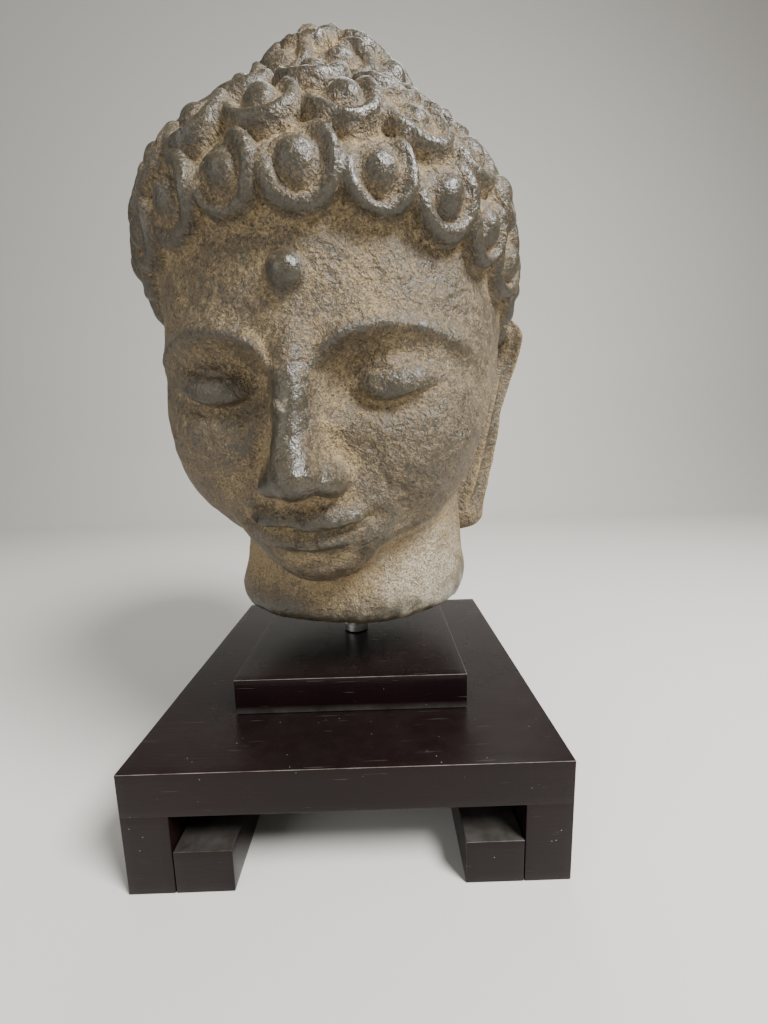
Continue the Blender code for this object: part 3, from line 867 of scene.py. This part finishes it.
def makeTurned(name, node, material, bore=0.0):
    # rings of one outline of (radius, height), turned about the node's middle; a bored piece is a closed loop
    low, high = (1000 * np.array(corner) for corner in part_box(node))
    middle, radius, chamfer = 1000 * centreOf(node), (high[0] - low[0]) / 2, steelware["chamfer"]
    outline = [(radius - chamfer, high[2]), (radius, high[2] - chamfer), (radius, low[2] + chamfer),
               (radius - chamfer, low[2])]
    outline = [(bore, high[2] - chamfer), (bore + chamfer, high[2])] + outline if bore else outline
    outline = outline + [(bore + chamfer, low[2]), (bore, low[2] + chamfer)] if bore else outline
    rings = []
    for (r, z), (nextR, nextZ) in zip(outline, outline[1:] + outline[:1]):
        rings += [(r + (nextR - r) * share, z + (nextZ - z) * share) for share in steelware["stations"]]
    rings = np.array(rings if bore else rings[:1 - len(steelware["stations"])])
    turn = np.linspace(0, 2 * np.pi, steelware["sides"], endpoint=False)
    points = np.stack([middle[0] + rings[:, :1] * np.cos(turn), middle[1] + rings[:, :1] * np.sin(turn),
                       np.broadcast_to(rings[:, 1:], (len(rings), len(turn)))], -1).reshape(-1, 3)
    if bore:
        cell = np.arange(len(points)).reshape(len(rings), -1)
        below, beside = np.roll(cell, -1, 0), np.roll(cell, -1, 1)
        faces = np.stack([cell, below, np.roll(below, -1, 1), beside], -1).reshape(-1, 4).tolist()
    else:
        points = np.concatenate([points, [(middle[0], middle[1], high[2]), (middle[0], middle[1], low[2])]])
        faces = ringFaces(len(rings), len(turn))
    newPiece(name, points / 1000, faces, material, [node])


# Materials. A ramp is a list of places and what it gives there; a pattern's sizes are in millimetres

stoneLook = {
    "burnished": "#2c2a21",
    "skin": "#483f2f",
    "tan": "#6a5940",
    "paleTan": "#978460",
    # the deepest hollows: reddish earth, darkened as painted shade, with a painted red reflection
    "earthAndPaintedShade": "#46281a",
    "pit": "#231c17",
    # the paler colours of the chip and of the patch of painted light on the neck
    "wornAndPaintedLight": "#685f4c",
    "wornAndPaintedLightPale": "#b3a994",
    "mottle": {"millimetres": 30.0, "detail": 4.0, "roughness": 0.6},
    "streak": {"millimetres": 7.0, "detail": 4.0, "roughness": 0.65, "distortion": 0.8},
    "wrinkles": {"millimetres": 2.6, "detail": 2.0, "roughness": 0.5, "distortion": 0.7},
    "grain": {"millimetres": 0.75, "detail": 2.0, "roughness": 0.6, "distortion": 1.0},
    "pits": {"millimetres": 1.275, "detail": 2.0},
    "reach": {"mottle": 4.0, "streak": 3.2, "wrinkles": 2.6, "grain": 3.2},
    "hairReach": -0.2,
    "depthRange": (-2.4, 4.6),
    "dark": ((0.0, "burnished"), (0.16, "burnished"), (0.34, "skin"), (0.6, "tan"), (0.85, "tan"),
             (1.0, "earthAndPaintedShade")),
    "light": ((0.0, "skin"), (0.12, "skin"), (0.32, "tan"), (0.52, "paleTan"), (0.85, "paleTan"),
              (1.0, "earthAndPaintedShade")),
    "speckRamp": ((0.38, 0.0), (0.62, 1.0)),
    "specks": 0.8,
    "pitRamp": ((0.28, 1.0), (0.38, 0.0)),
    "pitPlaces": ((0.2, 0.0), (0.4, 1.0)),
    "pitDarkness": 0.5,
    "paleRaggedness": 0.8,
    "paleRange": (0.1, 1.0),
    "roughness": ((0.0, 0.31), (0.22, 0.43), (0.5, 0.8)),
    "paleRoughness": 0.7,
    "bumpShares": {"wrinkles": 1.5, "grain": 0.45, "pits": -0.35},
    "bumpRange": (0.1, 0.36, 0.35),
    "bumpMm": 1.2,
}


def stoneRamp(tree, factor, name):
    # one of the stone's two colour ramps, from its burnished ridges to its earthy hollows, the deepest of
    # them darkened as painted shade
    return colourRamp(tree, factor, [(at, stoneLook[colour]) for at, colour in stoneLook[name]])


def volcanicStone():
    # dark volcanic stone rubbed to a dull shine on its high spots, with pale earth lodged in every hollow,
    # reddish earth with painted shade and a painted red reflection in the deepest, and a wormy salt and
    # pepper grain under a millimetre
    material, tree, shader, place = newMaterial("volcanicStone")
    hollow, hair, wornAndPaintedLight = layerOf(tree, "hollow"), layerOf(tree, "hair"), layerOf(tree, "wornAndPaintedLight")
    patterns = {name: noise(tree, place, **stoneLook[name]) for name in stoneLook["reach"]}
    depth = calculated(tree, "MULTIPLY_ADD", hair, stoneLook["hairReach"], hollow)
    for name, reach in stoneLook["reach"].items():
        shift = calculated(tree, "SUBTRACT", patterns[name], 0.5)
        depth = calculated(tree, "MULTIPLY_ADD", shift, reach, depth)
    share = remapped(tree, depth, *stoneLook["depthRange"])
    specks = colourRamp(tree, patterns["grain"], stoneLook["speckRamp"])
    colour = mixColours(tree, calculated(tree, "MULTIPLY", specks, stoneLook["specks"]),
                        stoneRamp(tree, share, "dark"), stoneRamp(tree, share, "light"))
    # the pits, which the bump sinks, are darkened towards the pit colour
    pits = colourRamp(tree, noise(tree, place, **stoneLook["pits"]), stoneLook["pitRamp"])
    pits = calculated(tree, "MULTIPLY", pits, colourRamp(tree, share, stoneLook["pitPlaces"]))
    pitDarkening = calculated(tree, "MULTIPLY", pits, stoneLook["pitDarkness"])
    colour = mixColours(tree, pitDarkening, colour, toLinear(stoneLook["pit"]))
    # the chip and the patch of painted light on the neck are paler, with ragged edges
    ragged = calculated(tree, "SUBTRACT", patterns["streak"], 0.5)
    rubbedAndPaintedLight = calculated(tree, "MULTIPLY_ADD", ragged, stoneLook["paleRaggedness"], wornAndPaintedLight)
    rubbedAndPaintedLight = remapped(tree, rubbedAndPaintedLight, *stoneLook["paleRange"])
    pale = mixColours(tree, specks, toLinear(stoneLook["wornAndPaintedLight"]), toLinear(stoneLook["wornAndPaintedLightPale"]))
    colour = mixColours(tree, rubbedAndPaintedLight, colour, pale)
    roughness = calculated(tree, "MAXIMUM", colourRamp(tree, share, stoneLook["roughness"]),
                           calculated(tree, "MULTIPLY", rubbedAndPaintedLight, stoneLook["paleRoughness"]))
    shares = stoneLook["bumpShares"]
    height = calculated(tree, "MULTIPLY", patterns["grain"], shares["grain"])
    height = calculated(tree, "MULTIPLY_ADD", patterns["wrinkles"], shares["wrinkles"], height)
    height = calculated(tree, "MULTIPLY_ADD", pits, shares["pits"], height)
    strength = remapped(tree, share, *stoneLook["bumpRange"])
    bump = addNode(tree, "ShaderNodeBump", {"Height": height, "Strength": strength,
                                            "Distance": stoneLook["bumpMm"] / 1000}).outputs[0]
    tree.links.new(colour, shader.inputs["Base Color"])
    tree.links.new(roughness, shader.inputs["Roughness"])
    tree.links.new(bump, shader.inputs["Normal"])
    return material


woodLook = {
    "lacquer": "#0a0607",
    "burgundy": "#190a0c",
    "dust": "#55554f",
    "speck": "#8d877d",
    # the pale colour of the arrises: partly wear and partly a painted highlight
    "wornAndPaintedLight": "#857c73",
    "grainTurn": (0, 0.04, 0.02),
    "grainStretch": (0.045, 1.0, 1.0),
    "pores": {"millimetres": 1.0, "detail": 4.0, "roughness": 0.7},
    "scratches": {"millimetres": 0.9, "detail": 2.0},
    "broad": {"millimetres": 45},
    "patchy": {"millimetres": 8, "detail": 4.0},
    "scratchRamp": ((0.69, 0.0), (0.73, 1.0)),
    "scratchShare": 0.3,
    "dotMm": 3.5,
    "dotRamp": ((0.04, 1.0), (0.075, 0.0)),
    "dotPlaces": ((0.53, 0.0), (0.59, 1.0)),
    "dotShare": 0.8,
    "dustRange": (0.3, 0.7, 0.25, 0.75),
    "wearAndHighlightRange": (0.15, 0.5, 0.0, 0.8),
    "roughness": 0.2,
    "broadRoughness": 0.14,
    "dustRoughness": 0.5,
    "poreStrength": 0.3,
    "poreMm": 0.2,
    "specular": 0.2,
}


def blackLacqueredWood():
    # open-grained board under thin black satin lacquer: pores and scratches run across the front, the
    # arrises are paler, partly rubbed and partly a painted highlight, and dust lies where nobody wipes
    material, tree, shader, place = newMaterial("blackLacqueredWood")
    wearAndHighlight, dusty = layerOf(tree, "wearAndHighlight"), layerOf(tree, "dust")
    along = addNode(tree, "ShaderNodeMapping", {"Vector": place, "Rotation": woodLook["grainTurn"],
                                                "Scale": woodLook["grainStretch"]}).outputs[0]
    pores = noise(tree, along, **woodLook["pores"])
    scratches = colourRamp(tree, noise(tree, along, **woodLook["scratches"]), woodLook["scratchRamp"])
    broad, patchy = noise(tree, place, **woodLook["broad"]), noise(tree, place, **woodLook["patchy"])
    colour = mixColours(tree, broad, toLinear(woodLook["lacquer"]), toLinear(woodLook["burgundy"]))
    cells = addNode(tree, "ShaderNodeTexVoronoi", {"Vector": place, "Scale": perMetre(woodLook["dotMm"])})
    dots = calculated(tree, "MULTIPLY", colourRamp(tree, cells.outputs["Distance"], woodLook["dotRamp"]),
                      colourRamp(tree, patchy, woodLook["dotPlaces"]))
    film = calculated(tree, "MULTIPLY", dusty, remapped(tree, patchy, *woodLook["dustRange"]))
    marks = calculated(tree, "MULTIPLY", scratches, woodLook["scratchShare"])
    marks = calculated(tree, "MAXIMUM", marks, film)
    colour = mixColours(tree, marks, colour, toLinear(woodLook["dust"]))
    dots = calculated(tree, "MULTIPLY", dots, woodLook["dotShare"])
    colour = mixColours(tree, dots, colour, toLinear(woodLook["speck"]))
    # pale arrises: partly wear and partly a painted highlight
    rubbedAndPaintedLight = remapped(tree, calculated(tree, "MULTIPLY", wearAndHighlight, patchy), *woodLook["wearAndHighlightRange"])
    colour = mixColours(tree, rubbedAndPaintedLight, colour, toLinear(woodLook["wornAndPaintedLight"]))
    roughness = calculated(tree, "MULTIPLY_ADD", broad, woodLook["broadRoughness"], woodLook["roughness"])
    dull = calculated(tree, "MAXIMUM", film, rubbedAndPaintedLight)
    roughness = calculated(tree, "MULTIPLY_ADD", dull, woodLook["dustRoughness"], roughness)
    bump = addNode(tree, "ShaderNodeBump", {"Height": pores, "Strength": woodLook["poreStrength"],
                                            "Distance": woodLook["poreMm"] / 1000}).outputs[0]
    shader.inputs["Specular IOR Level"].default_value = woodLook["specular"]
    tree.links.new(colour, shader.inputs["Base Color"])
    tree.links.new(roughness, shader.inputs["Roughness"])
    tree.links.new(bump, shader.inputs["Normal"])
    return material


steelLook = {
    "colour": "#d2d1cd",
    "markStretch": (0.1, 0.1, 1.0),
    "marks": {"millimetres": 0.4, "detail": 3.0, "roughness": 0.5},
    "roughness": (0.28, 0.46),
}


def polishedSteel():
    # bright drawn steel bar with faint turning marks
    material, tree, shader, place = newMaterial("polishedSteel")
    flat = addNode(tree, "ShaderNodeMapping", {"Vector": place, "Scale": steelLook["markStretch"]}).outputs[0]
    low, high = steelLook["roughness"]
    roughness = remapped(tree, noise(tree, flat, **steelLook["marks"]), toMin=low, toMax=high)
    shader.inputs["Base Color"].default_value = toLinear(steelLook["colour"])
    shader.inputs["Metallic"].default_value = 1.0
    tree.links.new(roughness, shader.inputs["Roughness"])
    return material


makeHead(volcanicStone())
print("head carved")
wood = blackLacqueredWood()
for name, board in boards.items():
    makeBoard(name, wood, **board)
print("stand built")
steel = polishedSteel()
makeTurned("mountingRod", "mounting_rod", steel)
makeTurned("rodCollar", "rod_collar", steel, rodBore())
print("rod and collar turned")


# Stage: a pale floor sweeping up behind, a large soft light above in front to the right, weak ones at the
# left and behind

stage = {
    "floor": "#cfccc6",
    "halfWidth": 1.6,
    "front": -1.2,
    "back": 0.75,
    "sweep": 0.35,
    "height": 1.6,
    "room": "#e8e6e2",
    "roomStrength": 0.34,
}
lights = {
    "keyLight": {"at": (0.55, -0.5, 0.9), "size": 0.4, "watts": 31.0},
    "fillLight": {"at": (-0.8, -0.8, 0.45), "size": 0.9, "watts": 5.0},
    "backLight": {"at": (0.1, 0.6, 1.0), "size": 0.6, "watts": 4.0},
}


def makeStage():
    # a floor at zero, a quarter round, then a wall
    turn = np.linspace(0, np.pi / 2, 24)
    side = np.concatenate([[(stage["front"], 0.0)],
                           np.stack([stage["back"] + stage["sweep"] * np.sin(turn),
                                     stage["sweep"] * (1 - np.cos(turn))], -1),
                           [(stage["back"] + stage["sweep"], stage["height"])]])
    count = len(side)
    points = np.array([(x, y, z) for x in (-stage["halfWidth"], stage["halfWidth"]) for y, z in side])
    faces = [(i, count + i, count + i + 1, i + 1) for i in range(count - 1)]
    material, _, shader, _ = newMaterial("paleFloor")
    shader.inputs["Base Color"].default_value = toLinear(stage["floor"])
    shader.inputs["Roughness"].default_value = 0.9
    newPiece("floor", points, faces, material, None)


def makeLight(name, at, size, watts):
    # a round soft light that faces the middle of the head
    lamp = bpy.data.lights.new(name, "AREA")
    lamp.shape = "DISK"
    lamp.size = size
    lamp.energy = watts
    light = bpy.data.objects.new(name, lamp)
    bpy.context.collection.objects.link(light)
    aim = centreOf("buddha_head") - np.array(at)
    light.location = at
    light.rotation_euler = Vector(aim).to_track_quat("-Z", "Y").to_euler()


makeStage()
for name, light in lights.items():
    makeLight(name, **light)
world = bpy.data.worlds.new("paleRoom")
world.use_nodes = True
world.node_tree.nodes["Background"].inputs["Color"].default_value = toLinear(stage["room"])
world.node_tree.nodes["Background"].inputs["Strength"].default_value = stage["roomStrength"]
bpy.context.scene.world = world
print("stage lit")
